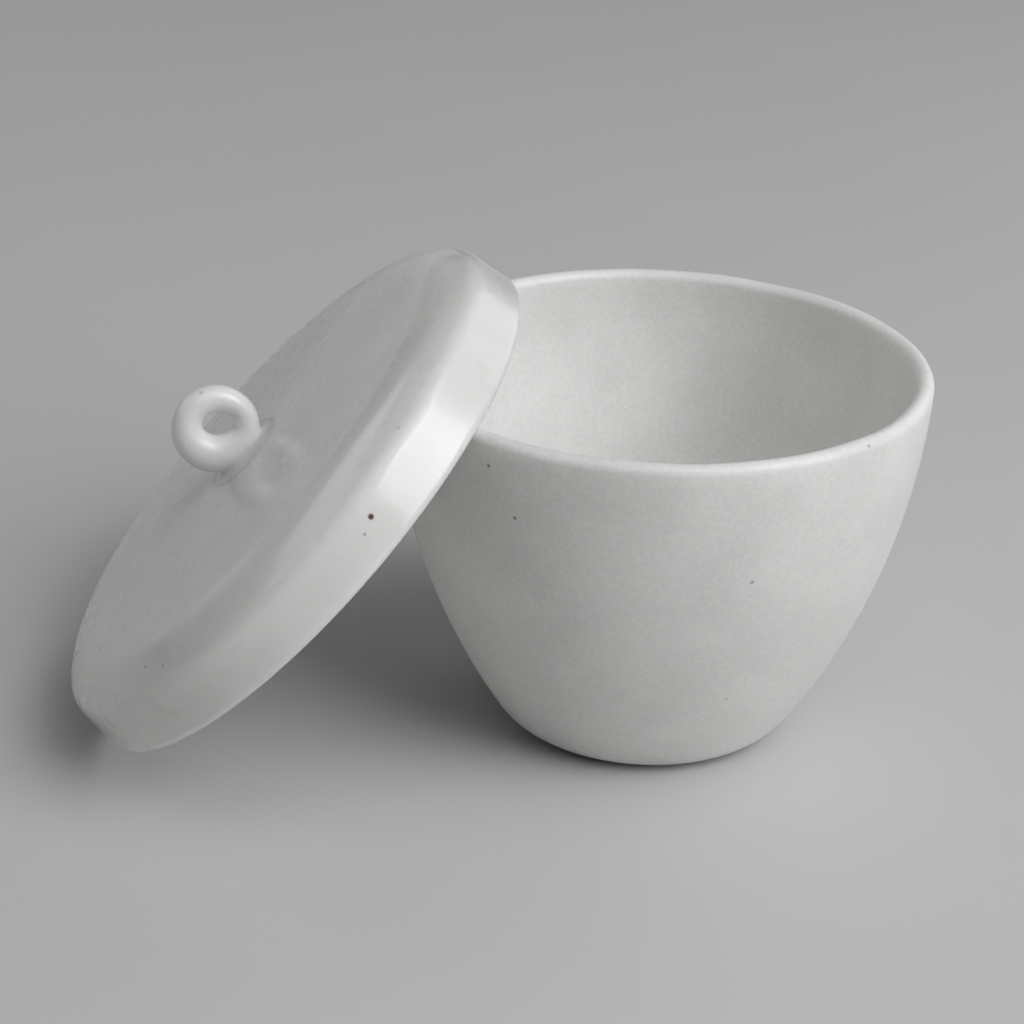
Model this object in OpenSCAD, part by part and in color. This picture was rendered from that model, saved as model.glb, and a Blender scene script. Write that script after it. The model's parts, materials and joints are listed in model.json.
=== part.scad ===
// Porcelain crucible with its cap lid leaning against it.
// Millimetres, +Z up, origin at the centre of the crucible's foot.
// The lid leans towards -X: its skirt stands on the bench and rests on the lip.

/* [Crucible] */
// Outside diameter at the mouth
mouth_d = 55; // [50:0.5:60]
// Height from the foot to the lip
cup_h = 39.5; // [36:0.5:42]
// Thickness of the wall
wall = 1.8; // [1.4:0.1:2.4]
// Thickness of the floor
floor_t = 2.4; // [1.8:0.1:4]
// Diameter of the flat foot
foot_d = 22.6; // [16:0.2:26]
// Radius of the outside corner between the foot and the side
foot_round = 5.5; // [3:0.5:8]
// Radius of the inside corner between the floor and the side
floor_round = 9; // [6:0.5:12]
// Height at which the curve of the side stands upright
upright_h = 41.7; // [40:0.1:46]

/* [Lid] */
// How far the edge of the skirt stands out past the mouth
overhang = 3.55; // [3:0.05:4.5]
// Height from the edge of the skirt to the middle of the top
lid_h = 9.4; // [8.6:0.1:11]
// Thickness of the skirt
skirt_t = 1.6; // [1.4:0.1:2]
// Lean of the skirt's side away from the lid's axis
skirt_taper = 8.4; // [4:0.2:10]
// Depth inside the cap
cap_depth = 6.2; // [6:0.1:6.6]
// Radius of the corner inside the cap
cap_round = 1.5; // [0.8:0.1:2.5]
// Radius of the crown over the middle of the top
crown_r = 300; // [200:10:600]
// Diameter at which the crown runs into the shoulder
crown_d = 45.8; // [40:0.2:48]
// Radius of the shoulder's long curve
shoulder_r = 15; // [12:0.5:18]
// Radius of the shoulder's tight curve, next to the skirt
corner_r = 2.2; // [1.5:0.1:3]

/* [Loop] */
// Diameter of the loop's centre line
loop_d = 6; // [5.6:0.1:8]
// Thickness of the loop
loop_t = 3; // [2.4:0.1:3.2]
// Depth that the loop is bedded in the lid's top
loop_bed = 0.75; // [0.5:0.05:1.2]
// Turn of the loop on the lid, from straight along the slope
loop_turn = 16.5; // [-90:0.5:90]

/* [Lean] */
// Angle between the leaning lid's axis and upright
lean = 47.3; // [45:0.1:50]
// Gap left between the skirt and the lip that it rests on
rest_gap = 0.15; // [0.1:0.05:0.4]

/* [Hidden] */
$fn = 128;

// A direction in the plane of a profile, from its angle
function dir(angle) = [cos(angle), sin(angle)];
// The angle of a direction
function angle_of(v) = atan2(v.y, v.x);
// Centre of a corner arc that sits on height base, inside an arc about big_c
function inner_centre(big_c, big_r, r, base) =
    [big_c.x + sqrt(pow(big_r - r, 2) - pow(big_c.y - base - r, 2)), base + r];

// Crucible: one long arc for the side, and a corner arc that it runs into
mouth_r = mouth_d / 2;
corner_c = [foot_d / 2, foot_round];
side_r = (pow(corner_c.x - mouth_r, 2) + pow(upright_h - foot_round, 2) - pow(foot_round, 2))
    / (2 * (mouth_r - corner_c.x - foot_round));
side_c = [mouth_r - side_r, upright_h];
bore_r = side_r - wall;
floor_c = inner_centre(side_c, bore_r, floor_round, floor_t);
lip_z = cup_h - wall / 2;
lip_angle = asin((lip_z - upright_h) / (side_r - wall / 2));
lip_c = side_c + (side_r - wall / 2) * dir(lip_angle);

// Lid: crown, shoulder and corner arcs, then a straight skirt to a round edge
edge_r = skirt_t / 2;
edge_c = [mouth_r + overhang - edge_r, edge_r];
skirt_n = dir(skirt_taper);
crown_c = [0, lid_h - crown_r];
crown_angle = 90 - asin(crown_d / 2 / crown_r);
crown_end = crown_c + crown_r * dir(crown_angle);
shoulder_c = crown_c + (crown_r - shoulder_r) * dir(crown_angle);
corner_reach = (skirt_n * (edge_c - shoulder_c) + edge_r - corner_r) / (shoulder_r - corner_r);
corner_angle = skirt_taper + acos(corner_reach);
bend_c = shoulder_c + (shoulder_r - corner_r) * dir(corner_angle);
cap_c = [
    (skirt_n * edge_c - edge_r - cap_round - sin(skirt_taper) * (cap_depth - cap_round))
        / cos(skirt_taper),
    cap_depth - cap_round
];
loop_z = lid_h + (loop_d + loop_t) / 2 - loop_bed;

// Leaning lid: it stands on its edge, and slides in until it meets the lip
lid_z = edge_c.x * sin(lean) - edge_c.y * cos(lean) + edge_r;
lip_up = (lip_z - lid_z) / sin(lean);
touch_x = lip_up * cos(lean) + sqrt(pow(lip_c.x, 2) - pow(edge_c.x, 2) + pow(lip_up, 2));
lid_axis = [-sin(lean), 0, cos(lean)];
SETTLE_SPAN = 12;
SETTLE_STEPS = 24;
// Neighbouring pieces of a profile run into each other by this much
OVERLAP = 1;
OVERLAP_ANGLE = 20;
// A disc at a corner is this much fuller, so that it crosses the lines that it blends
FULLER = 0.0005;
// The long arcs are drawn with this many sides to the full circle
LONG_ARC_FN = 1440;

// Distance between the skirt's edge and one point of the lip, with the lid at x
function point_gap(x, angle) =
    let (
        v = [x - lip_c.x * cos(angle), lip_c.x * sin(angle), lip_z - lid_z],
        up = v * lid_axis,
        out = sqrt(v * v - up * up)
    )
    norm([out - edge_c.x, up - edge_c.y]) - edge_r - wall / 2;
function lip_gap(x) = min([for (angle = [30 : 0.25 : 60]) point_gap(x, angle)]);
// Halve the span between too close and too far until the lid is rest_gap away
function settle(near, far, steps) =
    let (mid = (near + far) / 2)
    steps == 0 ? far
    : lip_gap(mid) < rest_gap ? settle(mid, far, steps - 1)
    : settle(near, mid, steps - 1);
lid_x = settle(touch_x, touch_x + SETTLE_SPAN, SETTLE_STEPS);

// Disc that rounds a corner
module corner_disc(centre, r) {
    translate(centre) circle(r + FULLER);
}

// Wedge of the plane between two directions from a point
module wedge(point, reach, from, to) {
    middle = (from + to) / 2;
    translate(point) polygon([[0, 0], reach * dir(from), reach * dir(middle), reach * dir(to)]);
}

// Filled bowl: side arc of radius r about side_c, corner arc about c, flat base.
// top holds the heights of its upper edge at the axis and at mouth_d.
module bowl(r, c, corner, base, top) {
    turn = angle_of(c - side_c);
    join = c + corner * dir(turn);
    intersection() {
        translate(side_c) circle(r, $fn = LONG_ARC_FN);
        polygon([[0, join.y], [mouth_d, join.y], [mouth_d, top[1]], [0, top[0]]]);
    }
    intersection() {
        corner_disc(c, corner);
        wedge(c, 2 * corner, -90 - OVERLAP_ANGLE, turn + OVERLAP_ANGLE);
        translate([0, base]) square([mouth_d, cup_h]);
    }
    translate([0, base]) square([c.x, join.y - base + OVERLAP]);
}

module crucible_profile() {
    slope = tan(lip_angle);
    lip_line = [lip_c.y - slope * lip_c.x, lip_c.y + slope * (mouth_d - lip_c.x)];
    difference() {
        bowl(side_r, corner_c, foot_round, 0, lip_line);
        bowl(bore_r, floor_c, floor_round, floor_t, [2 * cup_h, 2 * cup_h]);
    }
    corner_disc(lip_c, wall / 2);
}

// Gently domed middle of the lid's top
module crown() {
    intersection() {
        translate(crown_c) circle(crown_r, $fn = LONG_ARC_FN);
        translate([0, crown_end.y - 2 * OVERLAP]) square([crown_end.x, lid_h]);
    }
}

// Filled lid, from the line across the round edge up to the crown
module lid_block() {
    edge_out = edge_c + edge_r * skirt_n;
    bend_out = bend_c + corner_r * skirt_n;
    polygon([
        [0, edge_c.y - edge_c.x * tan(skirt_taper)], edge_out, bend_out, bend_c,
        crown_end - [0, OVERLAP], [0, crown_end.y - OVERLAP]
    ]);
    corner_disc(bend_c, corner_r);
    intersection() {
        translate(shoulder_c) circle(shoulder_r, $fn = LONG_ARC_FN);
        wedge(shoulder_c, 2 * shoulder_r, corner_angle, crown_angle);
    }
    crown();
}

// Space inside the cap, carried on far below the edge so that it opens cleanly
module cap_space() {
    skirt_down = [sin(skirt_taper), -cos(skirt_taper)];
    edge_in = edge_c - edge_r * skirt_n + 2 * cap_depth * skirt_down;
    cap_side = cap_c + cap_round * skirt_n;
    polygon([
        [0, edge_in.y], edge_in, cap_side, cap_c, [cap_c.x, cap_depth], [0, cap_depth]
    ]);
    corner_disc(cap_c, cap_round);
}

module lid_profile() {
    difference() {
        lid_block();
        cap_space();
    }
    corner_disc(edge_c, edge_r);
}

// Put a lid drawn about +Z into its leaning place
module leaning() {
    translate([-lid_x, 0, lid_z]) rotate([0, -lean, 0]) children();
}

module crucible() {
    color("whitesmoke") rotate_extrude() crucible_profile();
}

module lid() {
    color("gainsboro") leaning() rotate_extrude() lid_profile();
}

// A ring of clay luted to the top of the lid while both were still soft
module lid_loop() {
    color("snow") leaning() difference() {
        translate([0, 0, loop_z]) rotate([90, 0, loop_turn]) rotate_extrude()
            translate([loop_d / 2, 0]) circle(loop_t / 2);
        rotate_extrude() crown();
    }
}

crucible();
lid();
lid_loop();
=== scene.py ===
"""Porcelain crucible and its leaning cap lid: the looks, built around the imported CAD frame."""

import json
import math

import bpy
import numpy as np
from mathutils import Matrix, Vector


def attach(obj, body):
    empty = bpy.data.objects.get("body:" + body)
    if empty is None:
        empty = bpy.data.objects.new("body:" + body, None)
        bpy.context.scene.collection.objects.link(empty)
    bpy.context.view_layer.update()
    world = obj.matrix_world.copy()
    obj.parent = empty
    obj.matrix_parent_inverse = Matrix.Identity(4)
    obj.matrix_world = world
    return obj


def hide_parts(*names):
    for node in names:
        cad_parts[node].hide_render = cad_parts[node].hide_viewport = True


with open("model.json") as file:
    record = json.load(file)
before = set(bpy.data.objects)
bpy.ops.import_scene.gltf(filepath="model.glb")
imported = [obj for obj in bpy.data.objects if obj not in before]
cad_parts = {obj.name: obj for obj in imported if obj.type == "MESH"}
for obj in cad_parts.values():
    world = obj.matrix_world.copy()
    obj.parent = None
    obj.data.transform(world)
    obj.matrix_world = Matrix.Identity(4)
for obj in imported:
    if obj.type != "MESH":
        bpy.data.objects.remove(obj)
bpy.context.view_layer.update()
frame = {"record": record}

MM = 0.001

# ---- The drawing, in millimetres: it restates the CAD's own driving dimensions ----

MOUTH_R = 27.5
CUP_H = 39.5
WALL = 1.8
FLOOR_T = 2.4
FOOT_R = 11.3
FOOT_ROUND = 5.5
FLOOR_ROUND = 9.0
UPRIGHT_H = 41.7

OVERHANG = 3.55
LID_H = 9.4
SKIRT_T = 1.6
SKIRT_TAPER = math.radians(8.4)
CAP_DEPTH = 6.2
CAP_ROUND = 1.5
CROWN_R = 300.0
CROWN_EDGE_R = 22.9
SHOULDER_R = 15.0
CORNER_R = 2.2
LEAN = math.radians(47.3)

LOOP_R = 3.0
LOOP_TUBE_R = 1.5
LOOP_BED = 0.75
LOOP_TURN = math.radians(16.5)
LOOP_Z = LID_H + LOOP_R + LOOP_TUBE_R - LOOP_BED

# ---- What the drawing leaves out, in millimetres ----

# The loop's hole is a hand-made oval, turned in the loop's plane and off its middle
HOLE_TURN = math.radians(-46)
HOLE_OFFSET = (0.25, 0.50)
HOLE_SIZE = (1.60, 1.15)
# Taken off the loop's rim, to leave room for its waves
RIM_TRIM = 0.03
# The slip that lutes the loop on: how far its fillet spreads, how far its skin lies over the crown
# under the loop, and between which radii the skin sinks as far below the crown
FILLET = 0.9
SKIN_LIFT = 0.006
SKIN_INNER_R = 3.2
SKIN_OUTER_R = 5.6
# The lid's shoulder is fuller than a plain arc, most of all at the ends of the lean
SHOULDER_FILL = 0.18
SHOULDER_FILL_R = 27.2
SHOULDER_FILL_SPREAD = 2.9

# ---- How finely the pieces are meshed ----

LATHE_SIDES = 360
NET_CELL = 0.14


# ---- Outlines ----

def direction(angle):
    """Unit vector in the plane of an outline."""
    return np.array([math.cos(angle), math.sin(angle)])


def arc(centre, radius, start, end, step):
    """Points along a round stretch of an outline, from angle start to angle end."""
    count = max(3, math.ceil(abs(end - start) * radius / step))
    angles = np.linspace(start, end, count + 1)
    return np.array(centre) + radius * np.stack([np.cos(angles), np.sin(angles)], 1)


def line(start, end, step):
    """Points along a straight stretch of an outline, both ends included."""
    start, end = np.array(start, float), np.array(end, float)
    count = max(1, math.ceil(np.linalg.norm(end - start) / step))
    return start + (end - start) * np.linspace(0, 1, count + 1)[:, None]


def join(*stretches):
    """One outline from stretches that meet end to end, with each shared point kept once."""
    points = np.concatenate(stretches)
    apart = np.linalg.norm(np.diff(points, axis=0), axis=1) > 1e-4
    return points[np.concatenate([[True], apart])]


def angle_of(vector):
    return math.atan2(vector[1], vector[0])


def inner_centre(big_centre, big_r, radius, base):
    """Centre of a corner arc that stands on height base, inside a larger arc."""
    rise = big_centre[1] - base - radius
    return np.array([big_centre[0] + math.sqrt((big_r - radius) ** 2 - rise**2), base + radius])


def crucible_outline():
    """(radius, height) from the middle of the foot, up the side, over the lip, down to the floor."""
    corner = np.array([FOOT_R, FOOT_ROUND])
    rise = UPRIGHT_H - FOOT_ROUND
    side_r = ((FOOT_R - MOUTH_R) ** 2 + rise**2 - FOOT_ROUND**2) / (2 * (MOUTH_R - FOOT_R - FOOT_ROUND))
    side = np.array([MOUTH_R - side_r, UPRIGHT_H])
    bore_r = side_r - WALL
    floor = inner_centre(side, bore_r, FLOOR_ROUND, FLOOR_T)
    lip_angle = math.asin((CUP_H - WALL / 2 - UPRIGHT_H) / (side_r - WALL / 2))
    lip = side + (side_r - WALL / 2) * direction(lip_angle)
    foot_turn = angle_of(corner - side)
    floor_turn = angle_of(floor - side)
    return join(
        line((0, 0), (FOOT_R, 0), 1.0),
        arc(corner, FOOT_ROUND, -math.pi / 2, foot_turn, 0.2),
        arc(side, side_r, foot_turn, lip_angle, 0.4),
        arc(lip, WALL / 2, lip_angle, lip_angle + math.pi, 0.12),
        arc(side, bore_r, lip_angle, floor_turn, 0.4),
        arc(floor, FLOOR_ROUND, floor_turn, -math.pi / 2, 0.4),
        line((floor[0], FLOOR_T), (0, FLOOR_T), 1.0),
    )


def lid_outline():
    """(radius, height over the skirt's edge) from under the cap, round the skirt, up to the crown."""
    edge_r = SKIRT_T / 2
    edge = np.array([MOUTH_R + OVERHANG - edge_r, edge_r])
    out = direction(SKIRT_TAPER)
    crown = np.array([0, LID_H - CROWN_R])
    crown_angle = math.pi / 2 - math.asin(CROWN_EDGE_R / CROWN_R)
    shoulder = crown + (CROWN_R - SHOULDER_R) * direction(crown_angle)
    reach = (out @ (edge - shoulder) + edge_r - CORNER_R) / (SHOULDER_R - CORNER_R)
    corner_angle = SKIRT_TAPER + math.acos(reach)
    bend = shoulder + (SHOULDER_R - CORNER_R) * direction(corner_angle)
    cap_rise = CAP_DEPTH - CAP_ROUND
    cap_x = (out @ edge - edge_r - CAP_ROUND - math.sin(SKIRT_TAPER) * cap_rise) / math.cos(SKIRT_TAPER)
    cap = np.array([cap_x, cap_rise])
    return join(
        line((0, CAP_DEPTH), (cap_x, CAP_DEPTH), 1.0),
        arc(cap, CAP_ROUND, math.pi / 2, SKIRT_TAPER, 0.2),
        line(cap + CAP_ROUND * out, edge - edge_r * out, 0.5),
        arc(edge, edge_r, SKIRT_TAPER - math.pi, SKIRT_TAPER, 0.12),
        line(edge + edge_r * out, bend + CORNER_R * out, 0.3),
        arc(bend, CORNER_R, SKIRT_TAPER, corner_angle, 0.15),
        arc(shoulder, SHOULDER_R, corner_angle, crown_angle, 0.25),
        arc(crown, CROWN_R, crown_angle, math.pi / 2, 0.3),
    )


# ---- Hand-made unevenness ----

def waves(points, wavelength, seed, count=40):
    """Smooth random relief of about -1 to 1 at each point, from crossing waves of that length."""
    random = np.random.default_rng(seed)
    heading = random.normal(size=(count, 3))
    heading /= np.linalg.norm(heading, axis=1)[:, None]
    length = wavelength * random.uniform(0.75, 1.5, count)
    phase = random.uniform(0, 2 * math.pi, count)
    total = np.zeros(len(points))
    for way, size, start in zip(heading, length, phase):
        total += np.sin(points @ way * (2 * math.pi / size) + start)
    return total / math.sqrt(count / 2) / 2


def smooth(x, low, high):
    """0 below low, 1 above high, with an even slope between."""
    t = np.clip((x - low) / (high - low), 0, 1)
    return t * t * (3 - 2 * t)


def nearest(points, turn, radius, height):
    """The mesh point nearest to a place given round, out from and along the piece's own axis."""
    turn = math.radians(turn)
    place = np.array([radius * math.cos(turn), radius * math.sin(turn), height])
    return points[np.argmin(((points - place) ** 2).sum(1))]


def radial_of(turn):
    """Unit vectors straight out from the axis, at each angle round it."""
    return np.stack([np.cos(turn), np.sin(turn), np.zeros_like(turn)], 1)


def uneven_crucible(points, normals):
    """Slightly out of round, with a lip that waves, and faint relief under the glaze."""
    turn = np.arctan2(points[:, 1], points[:, 0])
    radial = radial_of(turn)
    up = smooth(points[:, 2], 6, CUP_H)
    lobes = 0.05 * np.cos(2 * turn + 0.6) + 0.03 * np.cos(3 * turn + 2.1) - 0.08
    lip = smooth(points[:, 2], CUP_H - 6, CUP_H)
    dip = 0.07 * waves(radial * MOUTH_R, 11, 3) - 0.05
    relief = 0.014 * waves(points, 9, 5) * smooth(points[:, 2], 0.2, 2)
    moved = points + radial * (up * lobes)[:, None] + normals * relief[:, None]
    moved[:, 2] += lip * dip
    return moved


def uneven_lid(points, normals):
    """Shallow streaks in the glaze on top, a full shoulder, and a skirt that isn't quite round."""
    turn = np.arctan2(points[:, 1], points[:, 0])
    out = np.hypot(points[:, 0], points[:, 1])
    outside = (normals[:, 2] > 0) & (points[:, 2] > 2.0)
    top = smooth(points[:, 2], CAP_DEPTH + 0.4, LID_H - 1.5)
    patch = smooth(waves(points, 15, 14), 0.0, 0.8)
    streaks = waves(points * [0.5, 1.0, 1.0], 2.6, 11)
    ripples = (0.009 * streaks * patch + 0.006 * waves(points, 9.0, 12)) * top
    bulge = np.exp(-(((out - SHOULDER_FILL_R) / SHOULDER_FILL_SPREAD) ** 2))
    shoulder = SHOULDER_FILL * (1 + np.cos(turn) ** 2) * bulge * smooth(points[:, 2], 2.0, 6.0)
    clear_of_loop = 1 - outside * (1 - smooth(out, SKIN_OUTER_R, 9.0))
    relief = (ripples + 0.006 * waves(points, 8, 13)) * clear_of_loop + shoulder * outside
    lobes = -0.12 * np.cos(2 * turn) * smooth(out, 8, 28)
    return points + normals * relief[:, None] + radial_of(turn) * lobes[:, None]


# ---- Meshes ----

def new_piece(name, points, faces, place, body, node, material):
    """A smooth mesh from points in millimetres in its own frame, riding on a body for a CAD node."""
    mesh = bpy.data.meshes.new(name)
    mesh.from_pydata((points * MM).tolist(), [], faces)
    mesh.transform(place)
    mesh.validate()
    mesh.polygons.foreach_set("use_smooth", [True] * len(mesh.polygons))
    mesh.materials.append(material)
    piece = bpy.data.objects.new(name, mesh)
    bpy.context.scene.collection.objects.link(piece)
    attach(piece, body)
    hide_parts(node)
    return piece


def lathe_faces(rings, sides):
    """Quads between rings of points, and a fan at each end to a point on the axis."""
    faces = []
    for ring in range(rings - 1):
        low, high = ring * sides, (ring + 1) * sides
        for side in range(sides):
            after = (side + 1) % sides
            faces.append((low + side, low + after, high + after, high + side))
    top, first, last = (rings - 1) * sides, rings * sides, rings * sides + 1
    for side in range(sides):
        after = (side + 1) % sides
        faces.append((first, after, side))
        faces.append((last, top + side, top + after))
    return faces


def lathe(outline, uneven, sides=LATHE_SIDES):
    """Turn an outline about +Z into a closed surface; its ends lie on the axis. (points, faces)"""
    rings = outline[1:-1]
    turn = np.linspace(0, 2 * math.pi, sides, endpoint=False)
    circle = np.stack([np.cos(turn), np.sin(turn)], 1)
    slope = np.gradient(outline, axis=0)[1:-1]
    across = np.stack([slope[:, 1], -slope[:, 0]], 1)
    across /= np.linalg.norm(across, axis=1)[:, None]

    def spin(pairs):
        flat = pairs[:, None, 0, None] * circle[None]
        height = np.repeat(pairs[:, 1], sides).reshape(-1, sides, 1)
        return np.concatenate([flat, height], 2).reshape(-1, 3)

    ends = np.array([[0, 0, outline[0, 1]], [0, 0, outline[-1, 1]]])
    end_normals = np.array([[0, 0, -1.0], [0, 0, 1.0]])
    points = np.concatenate([spin(rings), ends])
    normals = np.concatenate([spin(across), end_normals])
    return uneven(points, normals), lathe_faces(len(rings), sides)


def span_of(size, axis, part):
    """Slices of a grid that take part of one axis and the whole of the others."""
    cut = [slice(None)] * size
    cut[axis] = part
    return tuple(cut)


def add_crossings(total, hits, crossed, place, axis):
    """Add each crossed grid edge's place to the four cells that share the edge."""
    first, second = [i for i in range(3) if i != axis]
    for a in (0, 1):
        for b in (0, 1):
            source = [slice(None)] * 3
            source[first] = slice(a, crossed.shape[first] - 1 + a)
            source[second] = slice(b, crossed.shape[second] - 1 + b)
            edge = crossed[tuple(source)]
            total += np.where(edge[..., None], place[tuple(source)], 0)
            hits += edge


def net_faces(crossings, index, counts):
    """A quad across each crossed grid edge, between the points of its four cells."""
    faces = []
    for axis, crossed, low_inside in crossings:
        i, j = [k for k in range(3) if k != axis]
        for edge in np.argwhere(crossed):
            if edge[i] < 1 or edge[j] < 1 or edge[i] > counts[i] - 2 or edge[j] > counts[j] - 2:
                continue
            corners = []
            for di, dj in ((1, 1), (0, 1), (0, 0), (1, 0)):
                at = edge.copy()
                at[i] -= di
                at[j] -= dj
                corners.append(int(index[tuple(at)]))
            outward = low_inside[tuple(edge)] == (axis != 1)
            faces.append(tuple(corners if outward else corners[::-1]))
    return faces


def settle(points, distance, step, rounds=4):
    """Move points along the slope of distance until they lie where it is 0."""
    for _ in range(rounds):
        here = distance(points)
        slope = np.stack(
            [(distance(points + step * e) - distance(points - step * e)) / (2 * step) for e in np.eye(3)], 1
        )
        points = points - slope * (here / np.maximum((slope**2).sum(1), 1e-6))[:, None]
    return points


def net_surface(distance, low, high, cell=NET_CELL):
    """Mesh of the surface where distance(points) is 0, from a grid of cells. (points, faces)"""
    counts = np.ceil((np.array(high) - low) / cell).astype(int) + 1
    axes = [low[i] + cell * np.arange(counts[i]) for i in range(3)]
    grid = np.stack(np.meshgrid(*axes, indexing="ij"), -1)
    value = distance(grid.reshape(-1, 3)).reshape(counts)
    inside = value < 0

    total = np.zeros(tuple(counts - 1) + (3,))
    hits = np.zeros(tuple(counts - 1))
    crossings = []
    for axis in range(3):
        near = span_of(3, axis, slice(None, -1))
        far = span_of(3, axis, slice(1, None))
        crossed = inside[near] != inside[far]
        share = np.where(crossed, value[near] / np.where(crossed, value[near] - value[far], 1), 0)
        place = grid[near] + (grid[far] - grid[near]) * share[..., None]
        crossings.append((axis, crossed, inside[near]))
        add_crossings(total, hits, crossed, place, axis)

    index = -np.ones(hits.shape, int)
    used = hits > 0
    index[used] = np.arange(used.sum())
    points = settle(total[used] / hits[used][:, None], distance, cell * 0.05)
    return points, net_faces(crossings, index, counts)


def oval_reach(x, y, centre, size):
    """Distance from the origin to an oval round it, in the direction (x, y)."""
    a = (x / size[0]) ** 2 + (y / size[1]) ** 2
    b = x * centre[0] / size[0] ** 2 + y * centre[1] / size[1] ** 2
    c = (centre[0] / size[0]) ** 2 + (centre[1] / size[1]) ** 2 - 1
    return (b + np.sqrt(b * b - a * c)) / a


def loop_distance(points):
    """Signed distance from the clay ring and the fillet of slip that lutes it to the crown."""
    c, s = math.cos(LOOP_TURN), math.sin(LOOP_TURN)
    along = points[:, 0] * c + points[:, 1] * s
    across = -points[:, 0] * s + points[:, 1] * c
    up = points[:, 2] - LOOP_Z
    turn = np.arctan2(up, along) - HOLE_TURN
    hole = oval_reach(np.cos(turn), np.sin(turn), HOLE_OFFSET, HOLE_SIZE)
    rim = LOOP_R + LOOP_TUBE_R - RIM_TRIM
    tube = (rim - hole) / 2
    thick = LOOP_TUBE_R * (0.6 + 0.4 * tube / LOOP_TUBE_R)
    out = (np.hypot(along, up) - (rim + hole) / 2) / tube
    ring = (np.hypot(out, across / thick) - 1) * np.minimum(tube, thick)
    ring += 0.025 * waves(points, 3.4, 21)

    foot = np.hypot(points[:, 0], points[:, 1])
    crown = points[:, 2] - (np.sqrt(CROWN_R**2 - foot**2) + LID_H - CROWN_R)
    crown -= SKIN_LIFT - 2 * SKIN_LIFT * smooth(foot, SKIN_INNER_R, SKIN_OUTER_R)
    blend = FILLET + 0.25 * waves(points, 3.0, 22)
    h = np.clip(0.5 + 0.5 * (crown - ring) / blend, 0, 1)
    return crown * (1 - h) + ring * h - blend * h * (1 - h)


# ---- Materials ----

class Nodes:
    """Short calls for building one material's node tree."""

    def __init__(self, name):
        self.material = bpy.data.materials.new(name)
        self.material.use_nodes = True
        self.tree = self.material.node_tree
        self.shader = self.tree.nodes["Principled BSDF"]
        self.place = self.add("ShaderNodeTexCoord").outputs["Object"]

    def add(self, kind, **settings):
        node = self.tree.nodes.new(kind)
        for key, value in settings.items():
            setattr(node, key, value)
        return node

    def link(self, source, target):
        self.tree.links.new(source, target)

    def feed(self, value, socket):
        if isinstance(value, bpy.types.NodeSocket):
            self.link(value, socket)
        else:
            socket.default_value = value

    def maths(self, operation, a, b):
        node = self.add("ShaderNodeMath", operation=operation)
        self.feed(a, node.inputs[0])
        self.feed(b, node.inputs[1])
        return node.outputs[0]

    def noise(self, size, detail, roughness=0.5):
        """Noise whose features are about size millimetres across, as 0 to 1."""
        node = self.add("ShaderNodeTexNoise")
        self.link(self.place, node.inputs["Vector"])
        node.inputs["Scale"].default_value = 1 / (size * MM)
        node.inputs["Detail"].default_value = detail
        node.inputs["Roughness"].default_value = roughness
        return node.outputs["Fac"]

    def span(self, value, low, high, to_low=0.0, to_high=1.0):
        """value from low to high, evened out, as to_low to to_high."""
        node = self.add("ShaderNodeMapRange", interpolation_type="SMOOTHSTEP")
        self.feed(value, node.inputs["Value"])
        for key, number in zip(("From Min", "From Max", "To Min", "To Max"), (low, high, to_low, to_high)):
            node.inputs[key].default_value = number
        return node.outputs["Result"]

    def mix(self, share, a, b):
        """Colour from a to b by share."""
        node = self.add("ShaderNodeMix", data_type="RGBA")
        self.feed(share, node.inputs["Factor"])
        self.feed(a, node.inputs["A"])
        self.feed(b, node.inputs["B"])
        return node.outputs["Result"]

    def bump(self, height, depth):
        """Relief depth millimetres deep from a height of 0 to 1."""
        node = self.add("ShaderNodeBump")
        node.inputs["Strength"].default_value = 1.0
        node.inputs["Distance"].default_value = depth * MM
        self.link(height, node.inputs["Height"])
        return node.outputs["Normal"]

    def speck(self, colour, at, radius, strength, tone=(0.10, 0.06, 0.04, 1)):
        """An iron speck fired into the glaze at a point, in metres in the shared frame."""
        node = self.add("ShaderNodeVectorMath", operation="DISTANCE")
        self.link(self.place, node.inputs[0])
        node.inputs[1].default_value = at
        share = self.span(node.outputs["Value"], radius * 0.5 * MM, radius * 1.3 * MM, strength, 0.0)
        return self.mix(share, colour, tone)


def mottled(n, tint, shade, grain_share):
    """Colour that drifts between tint and shade in soft clouds and fine grain."""
    cloud = n.span(n.noise(9, 3), 0.35, 0.65)
    grain = n.span(n.noise(0.45, 2, 0.6), 0.3, 0.7)
    drift = n.maths("ADD", n.maths("MULTIPLY", cloud, 0.5), n.maths("MULTIPLY", grain, grain_share))
    return n.mix(drift, tint, shade)


def dotted(n, colour):
    """Colour with pale brown dots well under a millimetre across, in about one 7 mm cell in five."""
    cells = n.add("ShaderNodeTexVoronoi", feature="F1")
    n.link(n.place, cells.inputs["Vector"])
    cells.inputs["Scale"].default_value = 1 / (7 * MM)
    parts = n.add("ShaderNodeSeparateColor")
    n.link(cells.outputs["Color"], parts.inputs["Color"])
    chosen = n.span(parts.outputs["Red"], 0.80, 0.82)
    dot = n.span(cells.outputs["Distance"], 0.010, 0.030, 1.0, 0.0)
    share = n.maths("MULTIPLY", n.maths("MULTIPLY", dot, chosen), 0.35)
    return n.mix(share, colour, (0.30, 0.25, 0.2, 1))


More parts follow.
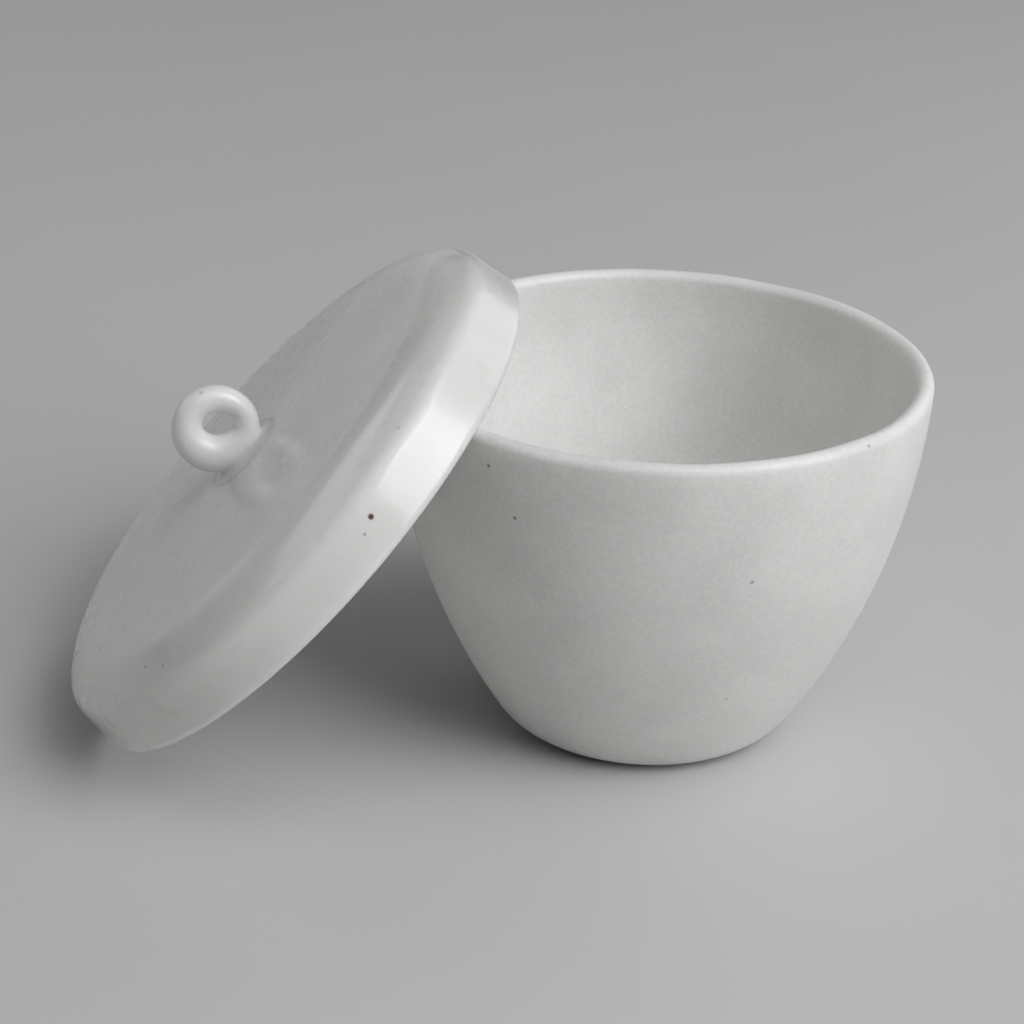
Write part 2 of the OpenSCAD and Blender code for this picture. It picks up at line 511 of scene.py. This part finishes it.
def glaze(name, tint, shade, roughness, grain_share, specks):
    """White porcelain body seen through its glaze, with mottling, grain, dots and iron specks."""
    n = Nodes(name)
    colour = dotted(n, mottled(n, tint, shade, grain_share))
    for at, radius, strength in specks:
        colour = n.speck(colour, at, radius, strength)
    n.link(colour, n.shader.inputs["Base Color"])
    rough = n.span(n.noise(3, 3), 0.3, 0.7, roughness * 0.85, roughness * 1.2)
    n.link(rough, n.shader.inputs["Roughness"])
    n.shader.inputs["IOR"].default_value = 1.5
    n.shader.inputs["Subsurface Weight"].default_value = 0.8
    n.shader.inputs["Subsurface Radius"].default_value = (1.0, 0.95, 0.9)
    n.shader.inputs["Subsurface Scale"].default_value = 2.2 * MM
    return n


def crucible_glaze(specks):
    """Satin, with a fine orange-peel grain."""
    n = glaze("crucible_glaze", (0.84, 0.84, 0.83, 1), (0.75, 0.75, 0.745, 1), 0.48, 0.6, specks)
    n.link(n.bump(n.noise(0.5, 3, 0.6), 0.008), n.shader.inputs["Normal"])
    n.shader.inputs["Coat Weight"].default_value = 0.15
    n.shader.inputs["Coat Roughness"].default_value = 0.30
    return n.material


def lid_glaze(specks):
    """Glossy: a clear coat over a softer body."""
    n = glaze("lid_glaze", (0.81, 0.81, 0.80, 1), (0.75, 0.75, 0.745, 1), 0.30, 0.25, specks)
    n.shader.inputs["Specular IOR Level"].default_value = 0.25
    n.shader.inputs["Coat Weight"].default_value = 0.75
    n.shader.inputs["Coat Roughness"].default_value = 0.15
    return n.material


def loop_glaze(specks):
    """A body between the other two, under a smooth coat with a faint ripple."""
    n = glaze("loop_glaze", (0.85, 0.85, 0.84, 1), (0.80, 0.80, 0.795, 1), 0.42, 0.2, specks)
    n.link(n.bump(n.noise(1.4, 1, 0.5), 0.0015), n.shader.inputs["Coat Normal"])
    n.shader.inputs["Coat Weight"].default_value = 0.5
    n.shader.inputs["Coat Roughness"].default_value = 0.12
    return n.material


def pale_floor():
    """Plain pale grey, barely mottled."""
    n = Nodes("pale_floor")
    colour = n.mix(n.noise(60, 3), (0.58, 0.58, 0.58, 1), (0.61, 0.61, 0.605, 1))
    n.link(colour, n.shader.inputs["Base Color"])
    n.shader.inputs["Roughness"].default_value = 0.8
    return n.material


# ---- Pieces ----

# Iron specks: degrees round the piece, millimetres out and up, then radius and strength
CRUCIBLE_SPECKS = [
    (-131, 27.2, 36.5, 0.20, 0.7),
    (-125, 26.7, 31.7, 0.20, 0.7),
    (-74, 25.9, 26.7, 0.22, 0.5),
    (-49, 27.3, 39.0, 0.18, 0.5),
    (-73, 20.9, 11.6, 0.25, 0.2),
    (-49, 19.6, 9.0, 0.18, 0.25),
    (35, 26.0, 24.0, 0.20, 0.6),
    (118, 23.5, 17.0, 0.16, 0.5),
]
LID_SPECKS = [
    (-65, 30.6, 3.8, 0.30, 1.0),
    (-68, 30.7, 3.3, 0.16, 0.45),
    (30, 11.8, 9.2, 0.18, 0.7),
    (-121, 27.9, 7.2, 0.16, 0.5),
    (-115, 28.8, 6.8, 0.16, 0.5),
    (-49, 29.6, 6.3, 0.20, 0.25),
    (95, 30.8, 2.6, 0.18, 0.5),
]
LOOP_SPECKS = [(-8, 2.0, 16.8, 0.20, 0.35)]


def fired_in(specks, points, place):
    """Each speck's point on the piece's surface in the shared frame, with its radius and strength."""
    found = []
    for turn, radius, height, size, strength in specks:
        at = nearest(points, turn, radius, height) * MM
        found.append((place @ Vector(at), size, strength))
    return found


def lid_place():
    """Where the leaning lid's own frame lies: the loop's eye is on its axis, at a known height."""
    eye = next(m for m in frame["record"]["mounts"] if m["name"] == "loop_eye")
    tilt = Matrix.Rotation(-LEAN, 4, "Y")
    foot = Vector(eye["pos_m"]) - tilt @ Vector((0, 0, LOOP_Z * MM))
    return Matrix.Translation(foot) @ tilt


def make_pieces():
    """The three visible pieces, each in place of its CAD node."""
    upright, leaning = Matrix.Identity(4), lid_place()

    points, faces = lathe(crucible_outline(), uneven_crucible)
    finish = crucible_glaze(fired_in(CRUCIBLE_SPECKS, points, upright))
    new_piece("crucible_body", points, faces, upright, "crucible", "crucible", finish)

    points, faces = lathe(lid_outline(), uneven_lid)
    finish = lid_glaze(fired_in(LID_SPECKS, points, leaning))
    new_piece("lid_cap", points, faces, leaning, "lid", "lid", finish)

    low, high = (-6.3, -6.3, LID_H - 0.5), (6.3, 6.3, LOOP_Z + 5.0)
    points, faces = net_surface(loop_distance, low, high)
    finish = loop_glaze(fired_in(LOOP_SPECKS, points, leaning))
    new_piece("lid_ring", points, faces, leaning, "lid", "lid_loop", finish)


# ---- Studio ----

LIT_POINT = Vector((-0.012, 0, 0.02))


def towards(azimuth, elevation):
    """Unit vector from the object to a place: azimuth 0 is in front of it, 90 on its right."""
    a, e = math.radians(azimuth), math.radians(elevation)
    return Vector((math.sin(a) * math.cos(e), -math.cos(a) * math.cos(e), math.sin(e)))


def make_camera():
    """At the photograph's viewing angle: it stands off from the middle of the crucible, then turns."""
    target = Vector((0, 0, 20)) * MM
    distance = 293.72 * MM
    yaw = math.radians(-2.81)
    pitch = math.radians(0.30)
    roll = math.radians(3.08)
    back = towards(-6.25, 24.92)
    camera = bpy.data.objects.new("camera", bpy.data.cameras.new("camera"))
    camera.data.lens = 100
    camera.data.sensor_width = 36
    camera.data.clip_start = 0.01
    camera.data.clip_end = 20
    aim = back.to_track_quat("Z", "Y").to_matrix()
    turn = Matrix.Rotation(-yaw, 3, "Y") @ Matrix.Rotation(pitch, 3, "X") @ Matrix.Rotation(roll, 3, "Z")
    camera.matrix_world = Matrix.Translation(target + back * distance) @ (aim @ turn).to_4x4()
    bpy.context.scene.collection.objects.link(camera)
    bpy.context.scene.camera = camera


def make_floor():
    """A flat square at height 0 that reaches well past the camera."""
    half = 1.5
    mesh = bpy.data.meshes.new("floor")
    corners = [(-half, -half, 0), (half, -half, 0), (half, half, 0), (-half, half, 0)]
    mesh.from_pydata(corners, [], [(0, 1, 2, 3)])
    mesh.materials.append(pale_floor())
    floor = bpy.data.objects.new("floor", mesh)
    bpy.context.scene.collection.objects.link(floor)


def soft_light(name, azimuth, elevation, distance, size, power):
    """A soft box aimed at the middle of the object, with its size in metres and power in watts."""
    back = towards(azimuth, elevation)
    light = bpy.data.objects.new(name, bpy.data.lights.new(name, "AREA"))
    light.data.shape = "RECTANGLE"
    light.data.size = size[0]
    light.data.size_y = size[1]
    light.data.energy = power
    light.location = LIT_POINT + back * distance
    light.rotation_euler = back.to_track_quat("Z", "Y").to_euler()
    light.visible_camera = False
    bpy.context.scene.collection.objects.link(light)


def make_light():
    """A large key and sky from the right, with weaker boxes on the left and behind for the glaze."""
    world = bpy.data.worlds.new("studio")
    world.use_nodes = True
    world.node_tree.nodes["Background"].inputs["Color"].default_value = (1, 1, 1, 1)
    world.node_tree.nodes["Background"].inputs["Strength"].default_value = 0.02
    bpy.context.scene.world = world
    soft_light("key", 50, 36, 0.8, (0.54, 0.50), 3.6)
    soft_light("sky", 35, 64, 0.9, (0.8, 0.6), 1.9)
    soft_light("top_right", 60, 55, 0.9, (0.6, 0.5), 1.1)
    soft_light("left_strip", -105, 35, 0.8, (0.95, 0.24), 0.90)
    soft_light("back_right", 135, 40, 0.8, (0.45, 0.36), 0.30)
    soft_light("back_low", 135, 15, 0.8, (0.45, 0.36), 0.50)
    soft_light("back_card", -155, 2.9, 0.6, (0.5, 0.10), 0.06)
    soft_light("back_step", -148, 12, 0.7, (0.6, 0.20), 0.10)
    soft_light("side_wall", -125, 20, 0.7, (0.4, 0.45), 0.10)


make_camera()
make_pieces()
make_floor()
make_light()
bpy.context.scene.view_settings.view_transform = "Standard"
